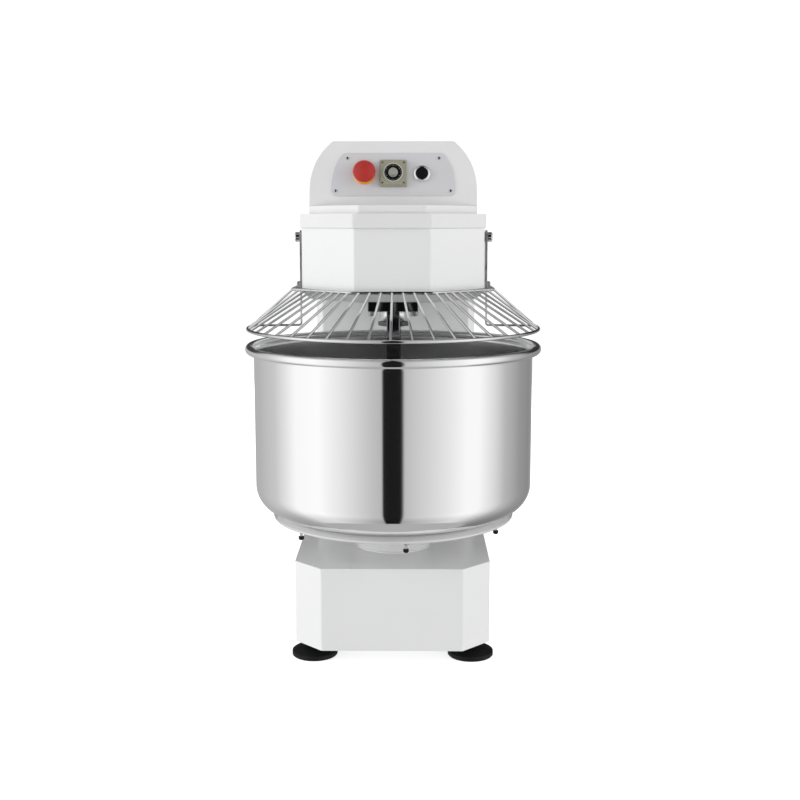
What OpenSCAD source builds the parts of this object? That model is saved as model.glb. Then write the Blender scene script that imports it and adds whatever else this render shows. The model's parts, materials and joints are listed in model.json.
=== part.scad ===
// Floor-standing spiral dough mixer with a turning bowl, a lifting wire guard and a sloped control panel.
// Origin on the floor under the middle of the machine, +Z up, front towards -Y.

/* [Bowl] */
// Outer radius of the bowl wall
bowl_r = 250; // [246:1:251]
// Thickness of the bowl sheet
bowl_wall = 2.5; // [2:0.5:3]
// Outer radius of the bowl's bottom corner
bowl_corner_r = 47; // [44:1:50]
// Height of the underside of the bowl
bowl_bottom_z = 249; // [249:1:251]
// Height of the top of the bowl rim
bowl_top_z = 550; // [546:1:552]
// Radius of the rolled bead round the rim
bead_r = 7; // [6:0.5:8]
// Distance of the bowl axis in front of the origin
bowl_offset = 150; // [149:1:151]
// Radius of the turntable dish
dish_r = 214; // [210:1:216]
// Height of the underside of the turntable dish
dish_z = 235; // [234:1:236]

/* [Stand] */
// Half width of the base
base_half_w = 171; // [168:1:172]
// Distance of the base front from the bowl axis
base_reach = 163.5; // [160:0.5:166]
// Width of the 45 degree corners of the base
base_chamfer = 48.5; // [46:0.5:50]
// Height of the bottom edge of the base
base_z = 30; // [30:1:31]
// Height of the top of the base
base_top_z = 177; // [176:1:178]
// Half width of the column
column_half_w = 162; // [160:0.5:162]
// Distance of the column front from the bowl axis
column_reach = 285; // [284:1:286]
// Thickness of the painted sheet
sheet = 3; // [2:0.5:3]
// Radius of each levelling foot
foot_r = 40.5; // [38:0.5:41]

/* [Head] */
// Half width of the head
head_half_w = 162; // [161.5:0.5:162]
// Half width of the flat front of the head
head_flat_half = 65; // [62:1:68]
// Distance of the head front from the bowl axis
head_reach = 109; // [108:1:110]
// Height of the bottom edge of the head wall
head_z = 647; // [646:1:648]
// Height of the top edge of the head wall
head_top_z = 755; // [754:1:756]
// Height of the head's underside
pan_z = 632; // [631:1:633]
// Inset of the underside from the head wall
pan_inset = 16; // [14:1:20]

/* [Hood] */
// Half width of the lip that caps the head
lip_half_w = 164; // [164:0.25:164.5]
// Height of the top of the lip
lip_top_z = 779; // [777:1:781]
// Half width of the hood above the lip
hood_half_w = 148.5; // [146:0.5:149]
// Height of the shelf in front of the panel
shelf_z = 793; // [792:1:795]
// Height of the top of the hood
hood_top_z = 907.5; // [904:0.5:910]
// Radius of the curved shoulders, seen from the front
shoulder_r = 107; // [104:1:110]
// Backward tilt of the control panel
panel_tilt = 16; // [14:1:18]

/* [Spiral] */
// Distance of the spiral axis behind the bowl axis
spiral_offset = 125; // [124:1:126]
// Radius of the spiral's bar
hook_bar_r = 13; // [11:0.5:13]
// Radius of the helix that the bar follows
hook_helix_r = 89; // [84:1:90]
// Turns of the helix
hook_turns = 1.5; // [1.25:0.25:1.5]

/* [Guard] */
// Radius of the guard's lower ring
ring_r = 260; // [258:1:260]
// Height of the lower ring
ring_z = 577.5; // [576:0.5:580]
// Wire radius of the ring and the top bar
ring_wire_r = 3; // [2.8:0.1:3.2]
// Radius of each spoke
spoke_r = 2.4; // [2:0.1:2.6]
// Spokes on each side of the middle one
spokes_per_side = 12; // [11:1:12]
// Height of the guard's top bar
top_bar_z = 647; // [646:1:648]
// Distance of the guard pivot behind the bowl axis
pivot_offset = 55; // [53:1:57]
// Height of the guard pivot
pivot_z = 738; // [736:1:740]
// Radius of the plastic bush round each guard pivot
bush_r = 9; // [8:0.5:9]

/* [Drive] */
// Pitch of both chains
chain_pitch = 12.7; // [12.7:0.1:12.8]
// Teeth of the sprocket under the bowl
bowl_teeth = 72; // [70:1:72]
// Teeth of the countershaft pinion that drives the bowl
pinion_teeth = 12; // [12:1:13]
// Teeth of both sprockets of the spiral's chain
spiral_teeth = 16; // [15:1:17]
// Groove radius of the motor pulley
motor_pulley_r = 26; // [25:1:27]
// Groove radius of the countershaft pulley
counter_pulley_r = 91; // [90:1:92]
// Clearance between a shaft and its bearing or hub
fit_gap = 0.05; // [0.03:0.01:0.08]

/* [Hidden] */
$fn = 64;

bowl_y = -bowl_offset;
spiral_y = bowl_y + spiral_offset;
column_y = bowl_y + column_reach;
rear_y = 392;
cover_t = 3;
counter_y = column_y + 33;
motor_y = counter_y + 140;
pivot_y = bowl_y + pivot_offset;

chain_z = 73;
spiral_chain_z = 738;
belt_z = 798;
bracket_z = 690;
bracket_t = 8;

shaft_r = 20;
spiral_shaft_r = 15;
counter_shaft_r = 14;
motor_shaft_r = 9;
arm_x = 167;
arm_t = 4;
brace_x = 170;
brace_r = 2;
brace_bend_r = 5;

panel_y = bowl_y;
panel_mid = 58;
control_x = 51;
hood_rear_y = rear_y - 8;
hood_t = 3;
plate_t = 1.5;

// ---------- shared shapes ----------

// Round rod between two points.
module rod(a, b, r) {
    d = b - a;
    translate(a) rotate([0, acos(d[2] / norm(d)), atan2(d[1], d[0])]) cylinder(h = norm(d), r = r);
}

// Plan outline with two 45 degree front corners, pulled in by inset on every side but the rear.
module nose_outline(half_w, front_y, back_y, flat_half, inset = 0) {
    w = half_w - inset;
    f = flat_half - inset * tan(22.5);
    y = front_y + inset;
    polygon([[-f, y], [f, y], [w, y + w - f], [w, back_y], [-w, back_y], [-w, y + w - f]]);
}

// Upright wall of that outline, open above, below and behind.
module nose_wall(half_w, front_y, back_y, flat_half, z0, z1, t) {
    translate([0, 0, z0]) linear_extrude(z1 - z0) difference() {
        nose_outline(half_w, front_y, back_y, flat_half);
        nose_outline(half_w, front_y, back_y + 1, flat_half, t);
    }
}

// Ring about the Z axis.
module ring(r_out, r_in, z0, z1) {
    translate([0, 0, z0]) rotate_extrude() translate([r_in, 0]) square([r_out - r_in, z1 - z0]);
}

// Hexagon prism, as a nut or a bolt head.
module hexagon(r, h) {
    cylinder(h = h, r = r, $fn = 6);
}

function pitch_radius(teeth) = chain_pitch / (2 * sin(180 / teeth));

// Chain sprocket with its hub, centred on its own plane.
module sprocket(teeth, bore_r, hub_r, hub_h) {
    r = pitch_radius(teeth);
    step = 360 / teeth;
    outline = [for (i = [0:teeth - 1], k = [0:3])
        let (a = (i + [0.1, 0.38, 0.62, 0.9][k]) * step, q = r + [-4, 4, 4, -4][k])
        [q * cos(a), q * sin(a)]];
    difference() {
        union() {
            translate([0, 0, -3]) linear_extrude(6) polygon(outline);
            cylinder(h = hub_h, r = hub_r, center = true);
        }
        cylinder(h = hub_h + 2, r = bore_r + fit_gap, center = true);
    }
}

// Flat band round two wheels on the Y axis, from the first at the origin to the second at [0, span].
module band_outline(r1, r2, span, inner, outer) {
    difference() {
        hull() {
            circle(r1 + outer);
            translate([0, span]) circle(r2 + outer);
        }
        hull() {
            circle(r1 + inner);
            translate([0, span]) circle(r2 + inner);
        }
    }
}

// Distance along a straight run, in whole links, at which a chain has left the teeth.
function clear_of(r) = chain_pitch * ceil(sqrt(14 * r) / chain_pitch);

// Chain as two rows of link plates astride the teeth, joined by pins along both straight runs.
module chain(teeth1, teeth2, span) {
    r1 = pitch_radius(teeth1);
    r2 = pitch_radius(teeth2);
    lean = asin((r1 - r2) / span);
    run = span * cos(lean);
    for (z = [-5.6, 3.6]) translate([0, 0, z]) linear_extrude(2) band_outline(r1, r2, span, -4.5, 4.5);
    for (s = [-1, 1], d = [clear_of(r1):chain_pitch:run - clear_of(r2)])
        translate([s * (r1 * cos(lean) - d * sin(lean)), r1 * sin(lean) + d * cos(lean), -5])
            cylinder(h = 10, r = 2.5, $fn = 16);
}

function unit(v) = v / norm(v);

// Ring of points round place i of a path, square to it; ref is a direction that lies across the path.
function tube_ring(path, i, ref, r, sides) =
    let (last = len(path) - 1,
        along = unit(path[min(last, i + 1)] - path[max(0, i - 1)]),
        across = unit(cross(along, ref)),
        out = cross(across, along))
    [for (k = [0:sides - 1]) let (a = 360 * k / sides) path[i] + r * (cos(a) * out + sin(a) * across)];

// Round bar swept along a path, with one reference direction for each of its places.
module tube(path, refs, r, sides) {
    rings = len(path);
    points = [for (i = [0:rings - 1]) each tube_ring(path, i, refs[i], r, sides)];
    skin = [for (i = [0:rings - 2], k = [0:sides - 1])
        let (a = i * sides + k, b = i * sides + (k + 1) % sides) each
        [[a, b, b + sides], [a, b + sides, a + sides]]];
    first = [for (k = [sides - 1:-1:0]) k];
    last = [for (k = [0:sides - 1]) (rings - 1) * sides + k];
    polyhedron(points, concat(skin, [first, last]));
}

// Grooved belt pulley centred on its own plane.
module pulley(groove_r, bore_r, hub_r) {
    rotate_extrude() difference() {
        union() {
            translate([bore_r + fit_gap, -9]) square([groove_r + 8 - bore_r - fit_gap, 18]);
            translate([bore_r + fit_gap, -16]) square([hub_r - bore_r - fit_gap, 32]);
        }
        translate([groove_r, 0]) polygon([[0, -5.5], [12, -7.5], [12, 7.5], [0, 5.5]]);
    }
}

// ---------- stand ----------

module base_housing() color("whitesmoke") {
    flat = base_half_w - base_chamfer;
    front = bowl_y - base_reach;
    nose_wall(base_half_w, front, column_y, flat, base_z, base_top_z, sheet);
    difference() {
        translate([0, 0, base_top_z - sheet]) linear_extrude(sheet)
            nose_outline(base_half_w, front, column_y, flat, sheet);
        translate([0, bowl_y, base_top_z - sheet - 1]) cylinder(h = sheet + 2, r = 60.5);
    }
}

module base_plate() color("darkgray") {
    flat = base_half_w - base_chamfer;
    difference() {
        translate([0, 0, base_z]) linear_extrude(4) {
            nose_outline(base_half_w, bowl_y - base_reach, column_y, flat, sheet + 0.3);
            translate([0.3 + sheet - column_half_w, column_y - 1])
                square([2 * (column_half_w - sheet - 0.3), rear_y - column_y]);
        }
        for_feet() translate([0, 0, base_z - 1]) cylinder(h = 6, r = 8 + fit_gap);
    }
}

module column_housing() color("whitesmoke") difference() {
    union() {
        nose_wall(column_half_w, column_y, rear_y, column_half_w - 14, base_z + 4.3, head_z, sheet);
    }
    translate([-60, column_y - 1, 50]) cube([120, sheet + 2, 50]);
}

module head_housing() color("whitesmoke") difference() {
    nose_wall(head_half_w, bowl_y - head_reach, rear_y, head_flat_half, head_z, head_top_z, sheet);
    translate([0, pivot_y, pivot_z]) rotate([0, 90, 0])
        cylinder(h = 2 * head_half_w + 2, r = bush_r + fit_gap, center = true);
}

// Solid between the head's outline and the smaller outline of its underside.
module pan_solid(t) {
    hull() {
        translate([0, 0, head_z - 1]) linear_extrude(1)
            nose_outline(head_half_w, bowl_y - head_reach, column_y, head_flat_half, t);
        translate([0, 0, pan_z + t]) linear_extrude(1)
            nose_outline(head_half_w, bowl_y - head_reach, column_y, head_flat_half, pan_inset + t / 2);
    }
}

module head_pan() color("whitesmoke") difference() {
    pan_solid(0);
    pan_solid(sheet);
    translate([0, spiral_y, pan_z - 1]) cylinder(h = sheet + 2, r = 34.5);
}

module rear_cover() color("whitesmoke") difference() {
    translate([-column_half_w + 1, rear_y, base_z + 6])
        cube([2 * column_half_w - 2, cover_t, head_top_z - base_z - 8]);
    for (z = [420:18:600]) translate([-70, rear_y - 1, z]) cube([140, cover_t + 2, 6]);
    translate([100, rear_y - 1, 120]) rotate([-90, 0, 0]) cylinder(h = cover_t + 2, r = 10.2);
}

module housing_screws() color("silver")
    for (s = [-1, 1], z = [60:130:710])
        translate([s * 150, rear_y + cover_t, z]) rotate([-90, 0, 0]) cylinder(h = 3, r = 5);

// Places its child at each of the four feet.
module for_feet() {
    for (x = [-139, 139], y = [bowl_y - 97, 340]) translate([x, y, 0]) children();
}

module foot_pads() color("black") for_feet() rotate_extrude()
    polygon([[0, 0], [foot_r, 0], [foot_r, 9], [foot_r - 6, 13], [16, 20], [0, 20]]);

module foot_stems() color("silver") for_feet() {
    translate([0, 0, 20]) cylinder(h = 34, r = 8);
    translate([0, 0, 22]) hexagon(13, 8);
    translate([0, 0, base_z + 4]) hexagon(13, 8);
}

module bowl_hub() color("whitesmoke") translate([0, bowl_y, 0]) {
    ring(71, 42, base_top_z, dish_z - 3);
    ring(60, 42, 120, base_top_z);
}

module bowl_bearings() color("silver") translate([0, bowl_y, 0])
    for (z = [125, 205]) ring(42 - fit_gap, shaft_r + fit_gap, z, z + 20);

module spiral_housing() color("silver") translate([0, spiral_y, 0]) {
    ring(34, 26, 604, pan_z + sheet);
    ring(55, 26, pan_z + sheet, pan_z + 11);
    ring(40, 26, pan_z + 11, 712);
}

module spiral_bearings() color("silver") translate([0, spiral_y, 0])
    for (z = [640, 694]) ring(26 - fit_gap, spiral_shaft_r + fit_gap, z, z + 16);

module counter_bearings() color("silver") translate([0, counter_y, 0])
    for (z = [base_z + 4, bracket_z + bracket_t]) ring(30, counter_shaft_r + fit_gap, z, z + 18);

module motor_bracket() color("dimgray") difference() {
    translate([-head_half_w + sheet, column_y + 20, bracket_z])
        cube([2 * (head_half_w - sheet), rear_y - column_y - 22, bracket_t]);
    translate([0, motor_y, bracket_z - 1]) cylinder(h = bracket_t + 2, r = 14);
    translate([0, counter_y, bracket_z - 1]) cylinder(h = bracket_t + 2, r = 16);
}

module motor_body() color("steelblue") translate([0, motor_y, 0]) difference() {
    union() {
        translate([0, 0, 480]) cylinder(h = bracket_z - 480, r = 66);
        for (i = [0:23]) rotate([0, 0, i * 15]) translate([60, -1.5, 500]) cube([13, 3, 170]);
        translate([0, 0, bracket_z - 10]) cylinder(h = 10, r = 76);
    }
    translate([0, 0, 660]) cylinder(h = 40, r = motor_shaft_r + 0.4);
}

module motor_fan_cowl() color("dimgray") translate([0, motor_y, 0]) {
    ring(70, 67, 450, 496);
    translate([0, 0, 447]) cylinder(h = 3, r = 70);
}

module breaker_bar() color("silver") translate([0, bowl_y, 0]) {
    translate([-45, -20, 607]) cube([90, 40, pan_z - 607]);
    translate([-11.75, -10, 262]) cube([23.5, 20, 346]);
}

module breaker_bolts() color("silver") translate([0, bowl_y, 0])
    for (x = [-38, 38]) translate([x, 0, 598]) hexagon(7, 9);

module electrical_box() color("gainsboro") difference() {
    translate([-75, rear_y - 62, 240]) cube([150, 62, 170]);
    translate([-72, rear_y - 59, 243]) cube([144, 56, 164]);
}

module cable_gland() color("black") translate([100, 0, 120]) rotate([-90, 0, 0]) {
    ring(10, 6, rear_y - 10, rear_y + 23);
    ring(15, 10, rear_y + cover_t, rear_y + 14);
    ring(14, 10, rear_y - 8, rear_y);
}

module guard_bushes() color("black")
    for (s = [-1, 1]) translate([s * (head_half_w - sheet - 2), pivot_y, pivot_z]) rotate([0, s * 90, 0])
        ring(bush_r, 6 + fit_gap, 0, arm_x - head_half_w + sheet + 1.5);

module guard_switch() color("gold") translate([118, pivot_y - 15, pivot_z - 46]) cube([30, 30, 28]);

// ---------- hood and controls ----------

// Front view of the hood above the lip: upright sides, curved shoulders, flat top.
module hood_front(inset) {
    w = hood_half_w - inset;
    r = shoulder_r - inset;
    top = hood_top_z - inset;
    arc_z = hood_top_z - 84;
    end = asin((top - arc_z) / r);
    right = [for (i = [0:12]) let (a = end * i / 12) [w - r + r * cos(a), arc_z + r * sin(a)]];
    left = [for (i = [12:-1:0]) [-right[i][0], right[i][1]]];
    polygon(concat([[-w, lip_top_z - 4], [w, lip_top_z - 4]], right, left));
}

// Side view of the hood: tilted panel in front, rear wall leaning slightly forward.
module hood_side(inset) {
    top = hood_top_z - inset;
    lean = (top - shelf_z) * tan(panel_tilt);
    f = panel_y + inset / cos(panel_tilt);
    polygon([[f, lip_top_z - 4], [f, shelf_z], [f + lean, top], [hood_rear_y - 16 - inset, top],
        [hood_rear_y - inset, shelf_z], [hood_rear_y - inset, lip_top_z - 4]]);
}

module hood_crown(inset) intersection() {
    translate([0, rear_y, 0]) rotate([90, 0, 0]) linear_extrude(2 * rear_y) hood_front(inset);
    translate([-200, 0, 0]) rotate([90, 0, 90]) linear_extrude(400) hood_side(inset);
}

module hood_solid(inset) {
    lip_y = bowl_y - head_reach - 4;
    nose_y = bowl_y - 95;
    translate([0, 0, head_top_z - (inset > 0 ? 1 : 0)]) linear_extrude(lip_top_z - head_top_z - (inset > 0 ? inset - 1 : 0))
        nose_outline(lip_half_w, lip_y, rear_y - inset, head_flat_half + 2, inset);
    translate([0, 0, lip_top_z - 4]) linear_extrude(shelf_z - lip_top_z + 4 - inset)
        nose_outline(hood_half_w, nose_y, panel_y + 30, 58, inset);
    hood_crown(inset);
}

module top_hood() color("whitesmoke") difference() {
    hood_solid(0);
    hood_solid(hood_t);
    on_panel(-control_x) cylinder(h = 20, r = 11.5, center = true);
    on_panel(control_x) cylinder(h = 20, r = 11.5, center = true);
    on_panel(0) cube([46, 46, 20], center = true);
}

// Places its child on the panel face, x across, y up the slope and z outward.
module on_panel(x, y = panel_mid) {
    translate([0, panel_y, shelf_z]) rotate([90 - panel_tilt, 0, 0]) translate([x, y, 0]) children();
}

// The plate is widest at its foot and narrows along a cubic curve.
module plate_outline() {
    foot = 18;
    tall = 79;
    side = [for (i = [0:10]) [110 - 21.5 * pow(i / 10, 3), foot + tall * i / 10]];
    offset(r = 9) offset(delta = -9)
        polygon(concat(side, [for (i = [10:-1:0]) [-side[i][0], side[i][1]]]));
}

module control_plate() color("lightgray") on_panel(0, 0) difference() {
    linear_extrude(plate_t) plate_outline();
    for (x = [-control_x, control_x]) translate([x, panel_mid, -1]) cylinder(h = 4, r = 11.5);
    translate([-23, panel_mid - 23, -1]) cube([46, 46, 4]);
}

module plate_screws() color("dimgray")
    for (s = [-1, 1], p = [[102, 27], [81.5, 87]])
        on_panel(s * p[0], p[1]) translate([0, 0, plate_t]) cylinder(h = 1.5, r = 2.6);

module estop_collar() color("gold") on_panel(-control_x) {
    ring(19, 9, plate_t, 8);
    ring(11, 9, -32, plate_t);
    translate([-15, -15, -56]) cube([30, 30, 24]);
}

module estop_button() color("red") on_panel(-control_x) {
    translate([0, 0, -18]) cylinder(h = 32, r = 8.5);
    translate([0, 0, 13]) rotate_extrude()
        polygon(concat([[0, 0], [18, 0], [20, 3], [20, 8]],
            [for (i = [0:6]) let (a = 15 * i) [12 + 8 * cos(a), 8 + 4 * sin(a)]], [[0, 12]]));
}

module timer_body() color("tan") on_panel(0) {
    translate([-24, -24, plate_t]) cube([48, 48, 9]);
    translate([-22.5, -22.5, -60]) cube([45, 45, 60 + plate_t]);
    ring(17.5, 15, plate_t + 9, plate_t + 12);
}

module timer_knob() color("silver") on_panel(0) {
    translate([0, 0, plate_t + 9.5]) cylinder(h = 1.5, r = 10);
    translate([0, 0, plate_t + 11]) cylinder(h = 9, r = 8);
    translate([-1.5, 3, plate_t + 20]) cube([3, 5, 1]);
}

module start_bezel() color("silver") on_panel(control_x) {
    rotate_extrude() polygon([[11.2, 0.2], [11.4, 0.2], [11.4, plate_t], [15, plate_t], [15, 4], [13, 7], [11.2, 7]]);
    ring(11.4, 10, -32, 0.6);
    translate([-15, -15, -56]) cube([30, 30, 24]);
}

module start_button() color("black") on_panel(control_x) {
    translate([0, 0, 2.9]) cylinder(h = 4.1, r = 11);
    translate([0, 0, -20]) cylinder(h = 23, r = 9.5);
}

// ---------- drive ----------

module drive_belt() color("black") translate([0, motor_y, belt_z - 5]) linear_extrude(10)
    rotate([0, 0, 180]) band_outline(motor_pulley_r, counter_pulley_r, motor_y - counter_y, 0.5, 8);

module spiral_chain() color("dimgray") translate([0, spiral_y, spiral_chain_z])
    chain(spiral_teeth, spiral_teeth, counter_y - spiral_y);

module bowl_chain() color("dimgray") translate([0, bowl_y, chain_z])
    chain(bowl_teeth, pinion_teeth, counter_y - bowl_y);

module bowl_shaft() color("silver") translate([0, bowl_y, 50]) cylinder(h = bowl_bottom_z - 50, r = shaft_r);

module bowl_sprocket() color("dimgray") translate([0, bowl_y, chain_z])
    sprocket(bowl_teeth, shaft_r, 34, 20);

module counter_shaft() color("silver") translate([0, counter_y, base_z + 6])
    cylinder(h = belt_z + 18 - base_z - 6, r = counter_shaft_r);

module counter_pulley() color("dimgray") translate([0, counter_y, belt_z]) difference() {
    pulley(counter_pulley_r, counter_shaft_r, 28);
    for (i = [0:5]) rotate([0, 0, 60 * i]) translate([58, 0, -10]) cylinder(h = 20, r = 18);
}

module counter_sprocket() color("dimgray") translate([0, counter_y, spiral_chain_z])
    sprocket(spiral_teeth, counter_shaft_r, 22, 20);

module counter_pinion() color("dimgray") translate([0, counter_y, chain_z])
    sprocket(pinion_teeth, counter_shaft_r, 19, 16);

module motor_shaft() color("silver") translate([0, motor_y, 662]) cylinder(h = belt_z + 18 - 662, r = motor_shaft_r);

module motor_pulley() color("dimgray") translate([0, motor_y, belt_z])
    pulley(motor_pulley_r, motor_shaft_r, 20);

// ---------- bowl ----------

// Half section of the bowl, grown outward by d from the outer face.
module bowl_section(d, top) {
    square([bowl_r - bowl_corner_r, 0.01]);
    translate([0, bowl_bottom_z - d]) square([bowl_r - bowl_corner_r, top - bowl_bottom_z + d]);
    translate([0, bowl_bottom_z + bowl_corner_r])
        square([bowl_r + d, top - bowl_bottom_z - bowl_corner_r]);
    translate([bowl_r - bowl_corner_r, bowl_bottom_z + bowl_corner_r]) circle(bowl_corner_r + d);
}

module bowl_shell() color("silver") translate([0, bowl_y, 0]) rotate_extrude($fn = 128) {
    difference() {
        intersection() {
            bowl_section(0, bowl_top_z - bead_r);
            translate([0, 100]) square([300, 600]);
        }
        bowl_section(-bowl_wall, bowl_top_z + 5);
    }
    translate([bowl_r + bead_r + 1, bowl_top_z - bead_r]) circle(bead_r, $fn = 32);
    translate([bowl_r - bowl_wall, bowl_top_z - bead_r - 3]) square([bead_r + bowl_wall + 1, 3]);
}

module turntable() color("white") translate([0, bowl_y, 0]) rotate_extrude($fn = 128)
    polygon([[shaft_r + fit_gap, dish_z], [dish_r + 1, dish_z], [dish_r + 5, dish_z + 3],
        [dish_r + 5, dish_z + 6], [dish_r - 11, bowl_bottom_z - 0.5], [dish_r - 26, bowl_bottom_z - 0.5],
        [dish_r - 26, dish_z + 4], [60, dish_z + 4], [60, bowl_bottom_z], [shaft_r + fit_gap, bowl_bottom_z]]);

// Places its child at each of the six studs under the dish.
module for_studs() {
    for (i = [0:5]) translate([0, bowl_y, 0]) rotate([0, 0, 60 * i + 7]) translate([0, 15 - dish_r, 0]) children();
}

module turntable_studs() color("silver") for_studs() {
    translate([0, 0, dish_z - 5]) hexagon(6, 5);
    translate([0, 0, dish_z - 12]) cylinder(h = 8, r = 2.6);
}

module stud_caps() color("black") for_studs() translate([0, 0, dish_z - 18.5]) cylinder(h = 6.5, r = 4.8);

// ---------- spiral ----------

hook_top_z = 570;
hook_straight_z = 500;
hook_end_z = 276;
hook_end_r = 56;

// Radius of the bar's path: it swings out from the shaft and curls in at its foot.
function hook_radius(u) =
    let (a = min(1, u / 0.34), b = max(0, (u - 0.72) / 0.28))
    hook_helix_r * (3 * a * a - 2 * a * a * a) - (hook_helix_r - hook_end_r) * b * b;

function hook_point(u) =
    let (angle = 180 - 360 * hook_turns * u, r = hook_radius(u))
    [r * sin(angle), r * cos(angle), hook_end_z + (hook_straight_z - hook_end_z) * pow(1 - u, 1.5)];

hook_steps = 84;
hook_path = concat(
    [[0, 0, hook_top_z], [0, 0, (hook_top_z + hook_straight_z) / 2]],
    [for (i = [0:hook_steps]) hook_point(i / hook_steps)]);

// Outward direction from the spiral axis at each place of the path.
hook_refs = [for (i = [0:len(hook_path) - 1])
    let (angle = 180 - 360 * hook_turns * max(0, i - 2) / hook_steps) [sin(angle), cos(angle), 0]];

module spiral_hook() color("silver") translate([0, spiral_y, 0]) tube(hook_path, hook_refs, hook_bar_r, 20);

module spiral_flange() color("dimgray") translate([0, spiral_y, hook_top_z]) hexagon(31, 8);

module spiral_collar() color("silver") translate([0, spiral_y, 0])
    ring(25, spiral_shaft_r + fit_gap, hook_top_z + 8, 602);

module spiral_shaft() color("silver") translate([0, spiral_y, hook_top_z + 8])
    cylinder(h = spiral_chain_z + 12 - hook_top_z - 8, r = spiral_shaft_r);

module spiral_sprocket() color("dimgray") translate([0, spiral_y, spiral_chain_z])
    sprocket(spiral_teeth, spiral_shaft_r, 22, 20);

// ---------- guard ----------

bar_half = 73;
bar_y = bowl_y - 127;
bar_run = 105;
bend_r = 12;
bar_rear_y = pivot_y - 5;
spoke_step = 18.5;
ring_end = 98;

// Point on the lower ring at an angle from the front.
function ring_point(a) = [ring_r * sin(a), bowl_y - ring_r * cos(a), ring_z];

// Point a given distance along the top bar from its middle.
function bar_point(d) =
    let (s = sign(d), over = max(0, abs(d) - bar_half) / sqrt(2))
    [s * (min(abs(d), bar_half) + over), bar_y + over, top_bar_z];

module guard_ring() color("silver") {
    translate([0, bowl_y, ring_z]) rotate([0, 0, 270 - ring_end]) rotate_extrude(angle = 2 * ring_end, $fn = 128)
        translate([ring_r, 0]) circle(ring_wire_r, $fn = 24);
}

// Places along a 45 degree bend of the top bar, about a centre and from a start angle.
function bend_points(x, y, start) =
    [for (k = [0:4]) let (a = start + 11.25 * k) [x + bend_r * cos(a), y + bend_r * sin(a), top_bar_z]];

bend_cut = bend_r * tan(22.5);
bar_right = concat(
    bend_points(bar_half - bend_cut, bar_y + bend_r, 270),
    bend_points(bar_half + bar_run - bend_r, bar_y + bar_run + bend_cut, 315),
    [[bar_half + bar_run, bar_rear_y, top_bar_z]]);
bar_path = concat([for (i = [len(bar_right) - 1:-1:0]) [-bar_right[i][0], bar_right[i][1], top_bar_z]], bar_right);

module guard_top_bar() color("silver") tube(bar_path, [for (p = bar_path) [0, 0, 1]], ring_wire_r, 20);

module guard_spokes() color("silver")
    for (i = [-spokes_per_side:spokes_per_side]) rod(bar_point(i * spoke_step), ring_point(8 * i), spoke_r);

module guard_arms() color("silver")
    for (s = [-1, 1]) {
        translate([s > 0 ? arm_x : -arm_x - arm_t, pivot_y - 10, top_bar_z - 8])
            cube([arm_t, 20, pivot_z + 12 - top_bar_z + 8]);
        translate([s > 0 ? arm_x + arm_t : -arm_x - arm_t - 6, pivot_y - 12, top_bar_z - 8])
            cube([6, 24, 18]);
    }

// Path of one brace: down from the arm, round a bend, and out to the end of the lower ring.
function brace_path(side) =
    let (foot = [side * brace_x, pivot_y - 6, ring_z],
        out = unit(ring_point(side * ring_end) - foot),
        centre = foot + brace_bend_r * (out + [0, 0, 1]))
    concat([[foot[0], foot[1], top_bar_z - 8]],
        [for (a = [0:15:90]) centre - brace_bend_r * (cos(a) * out + sin(a) * [0, 0, 1])],
        [ring_point(side * ring_end)]);

// Direction square to the plane of a brace.
function brace_ref(side) = cross([0, 0, 1], ring_point(side * ring_end) - [side * brace_x, pivot_y - 6, ring_z]);

module guard_braces() color("silver") for (side = [-1, 1])
    tube(brace_path(side), [for (p = brace_path(side)) unit(brace_ref(side))], brace_r, 16);

module guard_knobs() color("silver")
    for (s = [-1, 1]) translate([s * (arm_x + arm_t), pivot_y, pivot_z]) rotate([0, s * 90, 0])
        cylinder(h = 9, r = 8.8);

module guard_pivots() color("silver") {
    for (s = [-1, 1]) translate([s * 152, pivot_y, pivot_z]) rotate([0, s * 90, 0])
        cylinder(h = arm_x - 152, r = 6);
    translate([144, pivot_y, pivot_z]) rotate([0, 90, 0]) cylinder(h = 8, r = 14);
}

base_housing();
base_plate();
column_housing();
head_housing();
head_pan();
top_hood();
rear_cover();
housing_screws();
foot_pads();
foot_stems();
bowl_hub();
bowl_bearings();
spiral_housing();
spiral_bearings();
counter_bearings();
motor_bracket();
motor_body();
motor_fan_cowl();
breaker_bar();
breaker_bolts();
electrical_box();
control_plate();
plate_screws();
estop_collar();
timer_body();
start_bezel();
guard_bushes();
guard_switch();
cable_gland();
drive_belt();
spiral_chain();
bowl_chain();
bowl_shell();
turntable();
turntable_studs();
stud_caps();
bowl_shaft();
bowl_sprocket();
spiral_hook();
spiral_flange();
spiral_collar();
spiral_shaft();
spiral_sprocket();
counter_shaft();
counter_pulley();
counter_sprocket();
counter_pinion();
motor_shaft();
motor_pulley();
guard_ring();
guard_top_bar();
guard_spokes();
guard_arms();
guard_braces();
guard_knobs();
guard_pivots();
estop_button();
timer_knob();
start_button();
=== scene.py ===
"""Looks of the spiral dough mixer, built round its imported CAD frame. Metres, +Z up, front towards -Y."""

import json
from math import acos, atan2, cos, pi, radians, sin, sqrt, tan

import bmesh
import bpy
from mathutils import Matrix, Vector

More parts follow.
